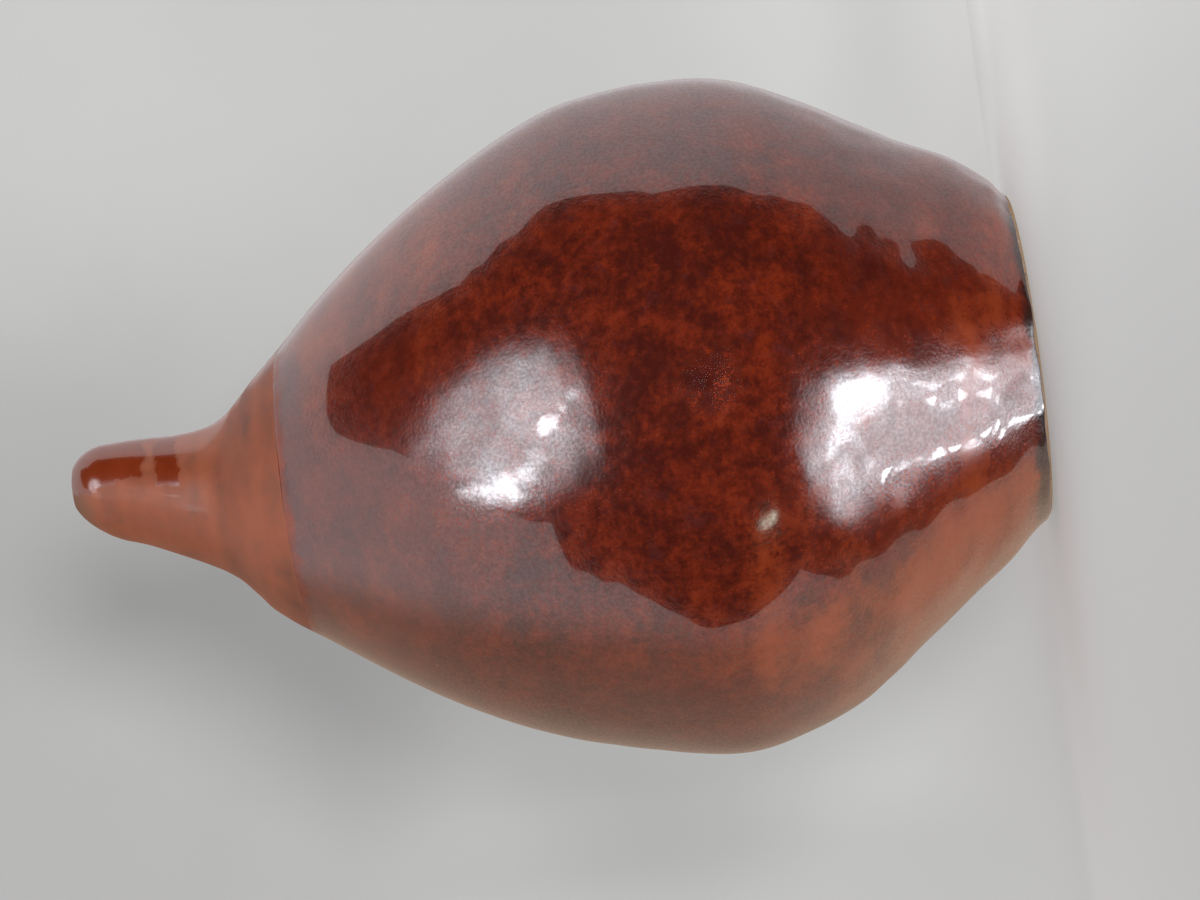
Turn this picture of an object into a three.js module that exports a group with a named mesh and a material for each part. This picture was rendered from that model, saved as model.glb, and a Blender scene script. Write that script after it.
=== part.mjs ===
// Gourd-shaped stoneware bottle vase, standing on its foot, in millimetres with +Z up.
// The clay is thrown in sections that are luted together: a foot ring, a floor, two halves of the
// belly and a neck with a closed-in lip. Three coats of glaze lie over it: one on the body, one on
// the neck and lip, and a liner inside.
import * as THREE from "three";

// Overall form, measured on the glazed surface
const HEIGHT = 200;
const FOOT_DIAMETER = 68.6;
const BELLY_DIAMETER = 139.6;
const BELLY_HEIGHT = 72;
const NECK_JOINT_DIAMETER = 43.4;
const NECK_LENGTH = 37;
const LIP_DIAMETER = 20.4;
const MOUTH_DIAMETER = 7;
const MOUTH_EDGE_RADIUS = 1.3;

// Slopes of the wall from upright, in degrees, and how far each curve holds its slope
const FLARE_SLOPE = 34.6;
const FLARE_HOLD = 60;
const BELLY_HOLD_BELOW = 20;
const BELLY_HOLD_ABOVE = 13.6;
const SHOULDER_SLOPE = 44.5;
const SHOULDER_HOLD = 60;
const NECK_ROOT_HOLD = 9.3;
const NECK_TAPER = 10.5;
const NECK_HOLD = 22.5;

// Sideways lean of the hand-thrown form: where its centre line lies at the foot, neck joint and lip
const FOOT_OFFSET = 3.3;
const NECK_JOINT_OFFSET = -4.5;
const LIP_OFFSET = 3.0;
const LEAN_POWER = 2;
const NECK_SWING_POWER = 1.3;

// Clay and glaze thicknesses, the foot, and where each coat ends
const CLAY_WALL = 3.6;
const GLAZE_COAT = 0.6;
const FOOT_RING_HEIGHT = 3;
const FOOT_RING_WIDTH = 8;
const FOOT_BEVEL = 0.8;
const FLOOR_THICKNESS = 5.5;
const FLOOR_CORNER = 7;
const FOOT_GLAZE_HEIGHT = 1.4;
const GLAZE_LINE_DROP = 8.5;
const LIP_GLAZE_DEPTH = 6;

// Clearance left between pieces that touch, and the number of flats round the form
const SEAT = 0.3;
const FLATS = 36;
const WALL_STEPS = 6;
const ARC_STEPS = 3;

// Heights that follow from these sizes
const neckJointHeight = HEIGHT - NECK_LENGTH;
const glazeLineHeight = neckJointHeight - GLAZE_LINE_DROP;
const lipGlazeEnd = HEIGHT - LIP_GLAZE_DEPTH;
const floorBottom = FOOT_RING_HEIGHT + SEAT;
const clayFloorTop = floorBottom + FLOOR_THICKNESS;

const point = (radius, height) => new THREE.Vector2(radius, height);
const radians = THREE.MathUtils.degToRad;

// Direction of a wall that climbs at a slope from upright: outward when positive, inward when negative.
const climb = (slope) => point(Math.sin(radians(slope)), Math.cos(radians(slope)));

// Curve between two points of the wall, holding a slope at each end.
function wallCurve(start, startSlope, startHold, end, endSlope, endHold) {
  const leave = start.clone().addScaledVector(climb(startSlope), startHold);
  const arrive = end.clone().addScaledVector(climb(endSlope), -endHold);
  return new THREE.CubicBezierCurve(start, leave, arrive, end);
}

// Arc about a centre, between two angles in degrees from the outward direction.
function arc(centre, radius, from, to) {
  const clockwise = to < from;
  return new THREE.EllipseCurve(
    centre.x, centre.y, radius, radius, radians(from), radians(to), clockwise, 0);
}

// Points of several curves in a row, each shared end once.
function trace(curves) {
  const points = [];
  for (const [curve, steps] of curves) {
    points.push(...curve.getPoints(steps).slice(points.length > 0 ? 1 : 0));
  }
  return points;
}

// Copy of an outline moved to its left by a depth, with its corners kept parallel.
function shifted(points, depth) {
  return points.map((at, i) => {
    const before = points[Math.max(i - 1, 0)];
    const after = points[Math.min(i + 1, points.length - 1)];
    const arriving = i > 0 ? at.clone().sub(before).normalize() : after.clone().sub(at).normalize();
    const leaving = i < points.length - 1 ? after.clone().sub(at).normalize() : arriving;
    const along = arriving.clone().add(leaving).normalize();
    const reach = depth / along.dot(leaving);
    return point(at.x - along.y * reach, at.y + along.x * reach);
  });
}

// Point at a height on a rising outline.
function atHeight(points, height) {
  const next = points.findIndex((at) => at.y >= height);
  const low = points[Math.max(next - 1, 0)];
  const high = points[Math.max(next, 1)];
  return low.clone().lerp(high, (height - low.y) / (high.y - low.y));
}

// Stretch of a rising outline between two heights; without the second it runs to its end.
function stretch(points, low, high = Infinity) {
  const inside = points.filter((at) => at.y > low && at.y < high);
  const top = high === Infinity ? [] : [atHeight(points, high)];
  return [atHeight(points, low), ...inside, ...top];
}

// Lip: a dome whose inner edge rolls over into the mouth
const lipRadius = LIP_DIAMETER / 2;
const mouthRadius = MOUTH_DIAMETER / 2;
const edgeOffset = mouthRadius + MOUTH_EDGE_RADIUS;
const edgeRise = Math.sqrt((lipRadius - MOUTH_EDGE_RADIUS) ** 2 - edgeOffset ** 2);
const edgeCentre = point(edgeOffset, HEIGHT - MOUTH_EDGE_RADIUS);
const domeCentre = point(0, edgeCentre.y - edgeRise);
const edgeAngle = THREE.MathUtils.radToDeg(Math.atan2(edgeRise, edgeOffset));
const CREST_ANGLE = 90;
const BORE_ANGLE = 180;

// Outside of the finished vase, from below the foot to the crest of the lip
const foot = point(FOOT_DIAMETER / 2, 0);
const footRunout = foot.clone().addScaledVector(climb(FLARE_SLOPE), -FOOT_RING_HEIGHT);
const belly = point(BELLY_DIAMETER / 2, BELLY_HEIGHT);
const neckJoint = point(NECK_JOINT_DIAMETER / 2, neckJointHeight);
const neckTop = point(
  lipRadius * Math.cos(radians(NECK_TAPER)),
  domeCentre.y + lipRadius * Math.sin(radians(NECK_TAPER)),
);
const outerWall = trace([
  [new THREE.LineCurve(footRunout, foot), 1],
  [wallCurve(foot, FLARE_SLOPE, FLARE_HOLD, belly, 0, BELLY_HOLD_BELOW), WALL_STEPS],
  [wallCurve(belly, 0, BELLY_HOLD_ABOVE, neckJoint, -SHOULDER_SLOPE, SHOULDER_HOLD), WALL_STEPS],
  [wallCurve(neckJoint, -SHOULDER_SLOPE, NECK_ROOT_HOLD, neckTop, -NECK_TAPER, NECK_HOLD), WALL_STEPS],
]);
const outerLip = trace([
  [arc(domeCentre, lipRadius, NECK_TAPER, edgeAngle), ARC_STEPS],
  [arc(edgeCentre, MOUTH_EDGE_RADIUS, edgeAngle, CREST_ANGLE), 1],
]);
const outside = [...outerWall, ...outerLip.slice(1)];

// Inside of the finished vase, from the middle of the floor to the crest of the lip
const layerDepth = GLAZE_COAT + SEAT;
const innerWall = shifted(outerWall, CLAY_WALL + 2 * layerDepth);
const floorTop = clayFloorTop + layerDepth;
const corner = atHeight(innerWall, floorTop);
const cornerEnd = atHeight(innerWall, floorTop + FLOOR_CORNER);
const floorEnd = point(corner.x - FLOOR_CORNER, floorTop);
const neckInner = innerWall.at(-1);
const boreTop = point(mouthRadius, edgeCentre.y);
const boreHold = (boreTop.y - neckInner.y) / 2;
const inside = [
  ...trace([
    [new THREE.LineCurve(point(0, floorTop), floorEnd), 1],
    [new THREE.QuadraticBezierCurve(floorEnd, corner, cornerEnd), ARC_STEPS],
  ]),
  ...innerWall.filter((at) => at.y > cornerEnd.y),
  ...trace([
    [wallCurve(neckInner, -NECK_TAPER, boreHold, boreTop, 0, boreHold), ARC_STEPS],
    [arc(edgeCentre, MOUTH_EDGE_RADIUS, BORE_ANGLE, CREST_ANGLE), ARC_STEPS],
  ]).slice(1),
];

// Faces that lie at a depth under the finished surface, outside and inside, both rising to the lip.
const surface = [...outside, ...inside.slice(0, -1).reverse()];
function facesAt(depth) {
  const points = shifted(surface, depth);
  return {
    outer: points.slice(0, outside.length),
    inner: points.slice(outside.length - 1).reverse(),
  };
}
const glazeFace = facesAt(0);
const glazeBack = facesAt(GLAZE_COAT);
const clayFace = facesAt(layerDepth);

// Sideways place of the centre line at a height: it leans away from the belly in both directions,
// and the neck swings back over the foot.
function lean(height) {
  if (height < BELLY_HEIGHT) {
    return FOOT_OFFSET * (1 - height / BELLY_HEIGHT) ** LEAN_POWER;
  }
  const joint = Math.min((height - BELLY_HEIGHT) / (neckJointHeight - BELLY_HEIGHT), 1);
  const tip = Math.max((height - neckJointHeight) / NECK_LENGTH, 0);
  const swing = (LIP_OFFSET - NECK_JOINT_OFFSET) * tip ** NECK_SWING_POWER;
  return NECK_JOINT_OFFSET * joint ** LEAN_POWER + swing;
}

// Solid turned from a closed outline, then bent to the lean of the form.
function turned(name, outline, material) {
  const closed = outline[0].x === 0 ? outline : [...outline, outline[0]];
  const geometry = new THREE.LatheGeometry(closed, FLATS);
  geometry.rotateX(Math.PI / 2);
  const places = geometry.getAttribute("position");
  for (let i = 0; i < places.count; i += 1) {
    places.setX(i, places.getX(i) + lean(places.getZ(i)));
  }
  geometry.computeVertexNormals();
  const mesh = new THREE.Mesh(geometry, material);
  mesh.name = name;
  return mesh;
}

const clay = () => new THREE.MeshStandardMaterial({ color: 0xa98a68, roughness: 0.9, metalness: 0 });
const ironGlaze = () => new THREE.MeshStandardMaterial({ color: 0x65210f, roughness: 0.16, metalness: 0 });
const thinGlaze = () => new THREE.MeshStandardMaterial({ color: 0x953810, roughness: 0.2, metalness: 0 });
const linerGlaze = () => new THREE.MeshStandardMaterial({ color: 0x5a2a18, roughness: 0.3, metalness: 0 });

// Foot ring: the bare clay ring that the vase stands on, beveled at its outer edge.
function footRing() {
  const innerRadius = FOOT_DIAMETER / 2 - FOOT_RING_WIDTH;
  const side = stretch(clayFace.outer, FOOT_BEVEL, FOOT_RING_HEIGHT);
  const sole = atHeight(clayFace.outer, 0);
  const outline = [
    point(innerRadius, 0),
    point(sole.x - FOOT_BEVEL, 0),
    ...side,
    point(innerRadius, FOOT_RING_HEIGHT),
  ];
  return turned("foot_ring", outline, clay());
}

// Floor: the disc of clay that closes the bottom, luted to the top of the foot ring.
function baseFloor() {
  const side = stretch(clayFace.outer, floorBottom, clayFloorTop);
  const outline = [point(0, floorBottom), ...side, point(0, clayFloorTop)];
  return turned("base_floor", outline, clay());
}

// Section of the clay wall between two heights.
function wallSection(name, low, high) {
  const outline = [
    ...stretch(clayFace.outer, low, high),
    ...stretch(clayFace.inner, low, high).reverse(),
  ];
  return turned(name, outline, clay());
}

// Neck: the slim top section, drawn in to a rounded lip round the mouth.
function neck() {
  const low = neckJointHeight + SEAT;
  const outline = [
    ...stretch(clayFace.outer, low),
    ...stretch(clayFace.inner, low).slice(0, -1).reverse(),
  ];
  return turned("neck", outline, clay());
}

// Body glaze: the thick iron-red coat, from just above the foot to the line it was dipped to.
function bodyGlaze() {
  const outline = [
    ...stretch(glazeFace.outer, FOOT_GLAZE_HEIGHT, glazeLineHeight),
    ...stretch(glazeBack.outer, FOOT_GLAZE_HEIGHT, glazeLineHeight).reverse(),
  ];
  return turned("body_glaze", outline, ironGlaze());
}

// Neck glaze: the thin orange coat above that line, over the lip and a little way into the mouth.
function neckGlaze() {
  const low = glazeLineHeight + SEAT;
  const outline = [
    ...stretch(glazeFace.outer, low),
    ...stretch(glazeFace.inner, lipGlazeEnd).slice(0, -1).reverse(),
    ...stretch(glazeBack.inner, lipGlazeEnd),
    ...stretch(glazeBack.outer, low).slice(0, -1).reverse(),
  ];
  return turned("neck_glaze", outline, thinGlaze());
}

// Liner glaze: the coat that seals the inside, from the floor up to the lip's own coat.
function liner() {
  const high = lipGlazeEnd - SEAT;
  const back = glazeBack.inner;
  const face = glazeFace.inner;
  const outline = [
    point(0, back[0].y),
    ...back.slice(1).filter((at) => at.y < high),
    atHeight(back.slice(1), high),
    atHeight(face.slice(1), high),
    ...face.slice(1).filter((at) => at.y < high).reverse(),
    point(0, face[0].y),
  ];
  return turned("liner_glaze", outline, linerGlaze());
}

const vase = new THREE.Group();
vase.add(
  footRing(),
  baseFloor(),
  wallSection("lower_wall", clayFloorTop + SEAT, BELLY_HEIGHT),
  wallSection("upper_wall", BELLY_HEIGHT + SEAT, neckJointHeight),
  neck(),
  bodyGlaze(),
  neckGlaze(),
  liner(),
);

export default vase;
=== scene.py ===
# Gourd-shaped stoneware bottle vase with a leaning neck and an iron-red glaze, standing on its foot.
# Lengths are in millimetres where a piece is shaped, and in metres once it is a mesh.
import math
import bmesh
import bpy
import numpy as np
from mathutils import Matrix, Vector, noise


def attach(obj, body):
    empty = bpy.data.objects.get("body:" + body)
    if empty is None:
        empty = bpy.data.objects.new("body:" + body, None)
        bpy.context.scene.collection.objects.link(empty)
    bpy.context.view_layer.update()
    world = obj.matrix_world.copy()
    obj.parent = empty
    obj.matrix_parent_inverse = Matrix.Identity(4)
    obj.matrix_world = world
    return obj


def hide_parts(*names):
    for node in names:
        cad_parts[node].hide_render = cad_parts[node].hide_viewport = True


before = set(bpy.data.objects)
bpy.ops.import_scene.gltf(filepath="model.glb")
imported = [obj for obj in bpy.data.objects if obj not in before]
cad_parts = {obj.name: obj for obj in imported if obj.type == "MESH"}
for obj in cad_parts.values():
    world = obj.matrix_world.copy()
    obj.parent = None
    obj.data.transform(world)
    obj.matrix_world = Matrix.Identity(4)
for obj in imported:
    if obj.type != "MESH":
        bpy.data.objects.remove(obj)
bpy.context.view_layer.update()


# Foot ring: the bare ring of buff stoneware that the vase stands on.
# It is turned on the wheel, wiped clean of glaze, and fired standing on its flat sole.
# Its outer edge is rounded by hand and meets the lower edge of the body's glaze.
MILLIMETRE = 0.001
BELLY_HEIGHT = 72.0
NECK_JOINT_HEIGHT = 163.0
HEIGHT = 200.0
FOOT_OFFSET = 3.3
NECK_JOINT_OFFSET = -4.5
LIP_OFFSET = 3.0
NECK_SWING = 1.3
RING_INSIDE = 26.3
RING_HEIGHT = 3.0
RING_TOP_MIDDLE = 30.0
RING_FLATS = 192
SOLE_FROM, SOLE_TO, SOLE_STEPS = 27.1, 32.2, 14
RING_INNER = ((RING_INSIDE, RING_HEIGHT), (RING_INSIDE, 1.6), (26.45, 0.55), (26.75, 0.14))
RING_EDGE = ((SOLE_TO, 0.0), (32.9, 0.1), (33.4, 0.32), (33.75, 0.75), (34.1, 1.4), (34.6, 2.3),
             (35.0, RING_HEIGHT))
EDGE_STEPS = 18
WEAR_FROM, WEAR_OVER, WEAR_TOP = 32.4, 1.4, 2.0
WEAR_DEPTH, WEAR_SIZE = 0.16, 5.0
BUFF_CLAY = (0.43, 0.28, 0.165, 1)
TOASTED_CLAY = (0.25, 0.13, 0.065, 1)
DARK_GROG = (0.10, 0.06, 0.04, 1)
PALE_GROG = (0.62, 0.50, 0.36, 1)
CLAY_IOR = 1.45


def lean(height):
    """Sideways place of the thrown form's centre line at a height."""
    below = FOOT_OFFSET * (1 - height / BELLY_HEIGHT) ** 2
    joint = np.clip((height - BELLY_HEIGHT) / (NECK_JOINT_HEIGHT - BELLY_HEIGHT), 0, 1)
    tip = np.clip((height - NECK_JOINT_HEIGHT) / (HEIGHT - NECK_JOINT_HEIGHT), 0, None)
    above = NECK_JOINT_OFFSET * joint ** 2 + (LIP_OFFSET - NECK_JOINT_OFFSET) * tip ** NECK_SWING
    return np.where(height < BELLY_HEIGHT, below, above)


def angles_of(flats):
    """Angles round a turned piece, as one row."""
    return np.linspace(0, math.tau, flats, endpoint=False)[None, :]


def evenly(line, steps):
    """The same line of radius and height, with its points evenly spaced along it."""
    line = np.array(line, float)
    reach = np.r_[0, np.cumsum(np.hypot(*np.diff(line, axis=0).T))]
    at = np.linspace(0, reach[-1], steps)
    return np.stack([np.interp(at, reach, line[:, k]) for k in (0, 1)], 1)


def unevenness(angle, radius, height, size, seed):
    """Smooth unevenness from about -1 to 1 over a turned surface, with features of a size."""
    x = radius * np.cos(angle) / size + seed
    y = radius * np.sin(angle) / size
    z = height / size + np.zeros_like(x)
    values = [noise.noise(place) for place in zip(x.ravel(), y.ravel(), z.ravel())]
    return np.array(values).reshape(x.shape)


def turned(name, radius, height, sharp=35):
    """Closed turned piece from its radius and height at each ring and angle, bent to the lean."""
    rings, flats = radius.shape
    angle = angles_of(flats)
    across = radius * np.cos(angle) + lean(height)
    away = radius * np.sin(angle)
    points = np.stack([across, away, height + np.zeros_like(radius)], -1).reshape(-1, 3) * MILLIMETRE
    ring = np.arange(rings)[:, None]
    next_ring = (ring + 1) % rings
    flat = np.arange(flats)[None, :]
    next_flat = (flat + 1) % flats
    corners = [ring * flats + flat, ring * flats + next_flat]
    corners += [next_ring * flats + next_flat, next_ring * flats + flat]
    mesh = bpy.data.meshes.new(name)
    mesh.from_pydata(points.tolist(), [], np.stack(corners, -1).reshape(-1, 4).tolist())
    shaping = bmesh.new()
    shaping.from_mesh(mesh)
    bmesh.ops.remove_doubles(shaping, verts=shaping.verts, dist=1e-7)
    bmesh.ops.recalc_face_normals(shaping, faces=shaping.faces)
    shaping.to_mesh(mesh)
    shaping.free()
    mesh.shade_smooth()
    mesh.set_sharp_from_angle(angle=math.radians(sharp))
    piece = bpy.data.objects.new(name, mesh)
    bpy.context.scene.collection.objects.link(piece)
    return piece


def fill(tree, node, values):
    """Gives each named input of a node its value, or a link where the value is another node's output."""
    for socket, value in dict(values).items():
        if isinstance(value, bpy.types.NodeSocket):
            tree.links.new(value, node.inputs[socket])
        else:
            node.inputs[socket].default_value = value


def put(tree, kind, values=(), **settings):
    """Adds a node with its settings and its inputs."""
    made = tree.nodes.new("ShaderNode" + kind)
    for setting, value in settings.items():
        setattr(made, setting, value)
    fill(tree, made, values)
    return made


def grain(tree, place, scale, detail=3.0, roughness=0.55):
    """Cloudy noise from 0 to 1, finer at a larger scale."""
    values = {"Vector": place, "Scale": scale, "Detail": detail, "Roughness": roughness}
    return put(tree, "TexNoise", values).outputs[0]


def mask(tree, value, low, high):
    """Soft step from 0 at the low value to 1 at the high one, which may lie below it."""
    values = {"Value": value, "From Min": low, "From Max": high}
    return put(tree, "MapRange", values, interpolation_type="SMOOTHSTEP").outputs[0]


def math_node(tree, operation, first, second=0.0, clamp=False):
    values = {0: first, 1: second}
    return put(tree, "Math", values, operation=operation, use_clamp=clamp).outputs[0]


def times(tree, first, *others):
    for other in others:
        first = math_node(tree, "MULTIPLY", first, other)
    return first


def plus(tree, first, *others, clamp=False):
    for other in others:
        first = math_node(tree, "ADD", first, other, clamp)
    return first


def minus(tree, first, second, clamp=False):
    return math_node(tree, "SUBTRACT", first, second, clamp)


def mixed(tree, amount, first, second):
    """Colour between two colours, the second one where the amount is 1."""
    return put(tree, "Mix", {0: amount, 6: first, 7: second}, data_type="RGBA").outputs[2]


def places(tree):
    """Place on the object in metres, whole and as its three parts."""
    place = put(tree, "TexCoord").outputs["Object"]
    return place, put(tree, "SeparateXYZ", {0: place}).outputs


def effect(name, inputs, outputs):
    """Empty node group with named number inputs and named outputs."""
    group = bpy.data.node_groups.new(name, "ShaderNodeTree")
    for label, value in inputs.items():
        socket = group.interface.new_socket(label, in_out="INPUT", socket_type="NodeSocketFloat")
        socket.default_value = value
    for label, kind in outputs.items():
        group.interface.new_socket(label, in_out="OUTPUT", socket_type="NodeSocket" + kind)
    return group, group.nodes.new("NodeGroupInput").outputs, group.nodes.new("NodeGroupOutput")


def new_material(name):
    made = bpy.data.materials.new(name)
    made.use_nodes = True
    return made, made.node_tree, made.node_tree.nodes["Principled BSDF"]


def clay_grain_group():
    """Buff stoneware: cloudy body colour, dark and pale grog, turning rings and an open grain."""
    outputs = {"Colour": "Color", "Roughness": "Float", "Height": "Float"}
    group, given, result = effect("clay_grain", {"Toast": 0.3, "Rings": 0.5}, outputs)
    place, apart = places(group)
    side = minus(group, apart[0], FOOT_OFFSET * MILLIMETRE)
    squares = plus(group, times(group, side, side), times(group, apart[1], apart[1]))
    across = math_node(group, "SQRT", squares)
    spun = put(group, "CombineXYZ", {0: across, 1: apart[2]}).outputs[0]
    rings = grain(group, spun, 900, 2.0)
    cloud = grain(group, place, 70, 4.0)
    open_grain = grain(group, place, 1400, 3.0, 0.65)
    toast = plus(group, given["Toast"], minus(group, cloud, 0.5), clamp=True)
    colour = mixed(group, toast, BUFF_CLAY, TOASTED_CLAY)
    ring_shade = times(group, mask(group, rings, 0.45, 0.65), given["Rings"], 0.5)
    colour = mixed(group, ring_shade, colour, TOASTED_CLAY)
    dark = mask(group, grain(group, place, 1000, 1.0), 0.66, 0.72)
    pale = mask(group, grain(group, place, 760, 1.0), 0.68, 0.74)
    colour = mixed(group, times(group, dark, 0.8), colour, DARK_GROG)
    colour = mixed(group, times(group, pale, 0.6), colour, PALE_GROG)
    rough = plus(group, times(group, open_grain, 0.2), 0.72)
    relief = plus(group, open_grain, times(group, rings, given["Rings"]))
    fill(group, result, {"Colour": colour, "Roughness": rough, "Height": relief})
    return group


clay_grain = clay_grain_group()


def bare_clay(name, toast, rings, relief):
    """Unglazed clay, more or less toasted, with turning rings and a depth of grain in metres."""
    material, tree, shader = new_material(name)
    look = put(tree, "Group", {"Toast": toast, "Rings": rings}, node_tree=clay_grain).outputs
    bump = put(tree, "Bump", {"Height": look["Height"], "Distance": relief, "Strength": 0.7}).outputs[0]
    fill(tree, shader, {"Base Color": look["Colour"], "Roughness": look["Roughness"], "Normal": bump,
                        "IOR": CLAY_IOR})
    return material


sole = np.stack([np.linspace(SOLE_FROM, SOLE_TO, SOLE_STEPS), np.zeros(SOLE_STEPS)], 1)
ring_line = np.vstack([RING_INNER, sole, evenly(RING_EDGE, EDGE_STEPS)[1:],
                       [(RING_TOP_MIDDLE, RING_HEIGHT)]])
around = angles_of(RING_FLATS)
ring_radius = ring_line[:, :1] + 0 * around
ring_height = ring_line[:, 1:] + 0 * around
worn = np.clip((ring_radius - WEAR_FROM) / WEAR_OVER, 0, 1) * (ring_height < WEAR_TOP)
wear = WEAR_DEPTH * unevenness(around, ring_radius, ring_height, WEAR_SIZE, 3.0)
foot_ring = turned("foot_ring_turned", ring_radius + worn * wear, ring_height)
foot_ring.data.materials.append(bare_clay("sole_clay", toast=0.28, rings=0.6, relief=0.00012))
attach(foot_ring, "root")
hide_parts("foot_ring")


# Floor: the disc of bare stoneware that closes the bottom, seen inside the foot ring.
# It is luted to the ring and hollowed a little with a turning tool, which leaves rings and a button.
FLOOR_LOW = 3.3
FLOOR_TOP = 8.8
FLOOR_FLATS = 144
UNDERSIDE_RADIUS, UNDERSIDE_STEPS = 33.6, 68
UNDERSIDE_RISE = 0.25
BUTTON_DROP, BUTTON_RADIUS = 0.35, 2.4
HOLLOW_DEPTH, HOLLOW_RADIUS = 0.25, 25.5
TOOL_DEPTH, TOOL_STEP, TOOL_REACH = 0.07, 2.1, 26
FLOOR_SIDE = ((35.2, 4.2), (37.9, 8.2), (37.4, FLOOR_TOP), (20.0, FLOOR_TOP), (0.0, FLOOR_TOP))
under = np.linspace(0, UNDERSIDE_RADIUS, UNDERSIDE_STEPS)
button = BUTTON_DROP * np.exp(-(under / BUTTON_RADIUS) ** 2)
hollow = HOLLOW_DEPTH * np.clip(1 - (under / HOLLOW_RADIUS) ** 2, 0, 1)
tool_turn = under / TOOL_STEP * math.tau + 0.6 * np.sin(under)
tool_rings = TOOL_DEPTH * np.sin(tool_turn) * (under < TOOL_REACH)
underside = np.stack([under, FLOOR_LOW + UNDERSIDE_RISE + hollow - button + tool_rings], 1)
floor_line = np.vstack([underside, FLOOR_SIDE])
around = angles_of(FLOOR_FLATS)
base_floor = turned("base_floor_turned", floor_line[:, :1] + 0 * around, floor_line[:, 1:] + 0 * around)
base_floor.data.materials.append(bare_clay("floor_clay", toast=0.42, rings=1.0, relief=0.00016))
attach(base_floor, "root")
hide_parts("base_floor")


# Clay walls: the lower and upper half of the belly and the neck, thrown in sections and luted.
# They lie wholly under the glaze, so their own solids stay, in the clay of the foot.
wall_clay = bare_clay("wall_clay", toast=0.35, rings=0.3, relief=0.00015)
for section in ("lower_wall", "upper_wall", "neck"):
    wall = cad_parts[section]
    wall.data.materials.clear()
    wall.data.materials.append(wall_clay)


# Liner glaze: the brown coat that seals the inside, poured in and out through the mouth.
# It covers the floor and the inner wall up to the lip's own coat, and shows only through the mouth.
FOOT_RADIUS, FOOT_SLOPE, FOOT_HOLD = 34.3, 34.6, 60
BELLY_RADIUS, BELLY_HOLD_BELOW, BELLY_HOLD_ABOVE = 69.8, 20, 13.6
NECK_JOINT_RADIUS, NECK_JOINT_SLOPE = 21.7, -44.5
NECK_JOINT_HOLD_BELOW, NECK_JOINT_HOLD_ABOVE = 60, 9.3
NECK_TAPER, NECK_HOLD = 10.5, 22.5
LIP_RADIUS = 10.2
MOUTH_RADIUS = 3.5
MOUTH_EDGE = 1.3
COAT = 0.6
INSIDE_DEPTH = 5.4
INSIDE_CORNER = 7
LINER_FLOOR = 9.7
LINER_TOP = 193.7
LINER_FLATS = 96
RIPPLE_DEPTH, RIPPLE_SIZE, RIPPLE_FROM = 0.12, 9.0, 20
LINER_DARK = (0.045, 0.012, 0.006, 1)
LINER_RUST = (0.15, 0.032, 0.012, 1)
GLAZE_BROWN = (0.062, 0.0070, 0.0034, 1)
GLAZE_RUST = (0.176, 0.0162, 0.0030, 1)
GLAZE_AMBER = (0.225, 0.0360, 0.0060, 1)
GLAZE_SHEER = (0.36, 0.058, 0.0110, 1)
GLAZE_PLUM = (0.075, 0.022, 0.028, 1)
GLAZE_BURNT = (0.022, 0.010, 0.008, 1)


def climb(slope):
    return np.array([math.sin(math.radians(slope)), math.cos(math.radians(slope))])


def wall_curve(start, start_slope, start_hold, end, end_slope, end_hold, steps):
    """Points of a curve of the wall that holds a slope from upright at each end."""
    start, end = np.array(start, float), np.array(end, float)
    leave = start + climb(start_slope) * start_hold
    arrive = end - climb(end_slope) * end_hold
    t = np.linspace(0, 1, steps)[:, None]
    return ((1 - t) ** 3 * start + 3 * t * (1 - t) ** 2 * leave + 3 * t * t * (1 - t) * arrive
            + t ** 3 * end)


def arc(middle, radius, first, last, steps):
    turn = np.radians(np.linspace(first, last, steps))
    return np.stack([middle[0] + radius * np.cos(turn), middle[1] + radius * np.sin(turn)], 1)


def normals_of(line):
    """Outward direction at each point of an outline that rises along the outside."""
    along = np.gradient(line, axis=0)
    along /= np.hypot(along[:, 0], along[:, 1])[:, None]
    return np.stack([along[:, 1], -along[:, 0]], 1)


def between(line, low, high):
    """Stretch of a rising outline between two heights."""
    kept = line[(line[:, 1] > low) & (line[:, 1] < high)]
    ends = [[np.interp(z, line[:, 1], line[:, 0]), z] for z in (low, high)]
    return np.vstack([ends[:1], kept, ends[1:]])


edge_middle = (MOUTH_RADIUS + MOUTH_EDGE, HEIGHT - MOUTH_EDGE)
edge_rise = math.sqrt((LIP_RADIUS - MOUTH_EDGE) ** 2 - edge_middle[0] ** 2)
dome_middle = (0.0, edge_middle[1] - edge_rise)
edge_angle = math.degrees(math.atan2(edge_rise, edge_middle[0]))
foot_edge, belly = (FOOT_RADIUS, 0), (BELLY_RADIUS, BELLY_HEIGHT)
neck_joint = (NECK_JOINT_RADIUS, NECK_JOINT_HEIGHT)
neck_top = arc(dome_middle, LIP_RADIUS, NECK_TAPER, NECK_TAPER, 1)[0]
wall_line = np.vstack([
    wall_curve(foot_edge, FOOT_SLOPE, FOOT_HOLD, belly, 0, BELLY_HOLD_BELOW, 500),
    wall_curve(belly, 0, BELLY_HOLD_ABOVE, neck_joint, NECK_JOINT_SLOPE, NECK_JOINT_HOLD_BELOW, 500)[1:],
    wall_curve(neck_joint, NECK_JOINT_SLOPE, NECK_JOINT_HOLD_ABOVE,
               neck_top, -NECK_TAPER, NECK_HOLD, 300)[1:],
])
inner_line = wall_line - normals_of(wall_line) * INSIDE_DEPTH
inner_top = inner_line[-1]
corner_end = between(inner_line, LINER_FLOOR + INSIDE_CORNER, LINER_FLOOR + INSIDE_CORNER + 1)[0]
corner = between(inner_line, LINER_FLOOR, LINER_FLOOR + 1)[0]
floor_end = corner - (INSIDE_CORNER, 0)
t = np.linspace(0, 1, 12)[:, None]
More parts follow.
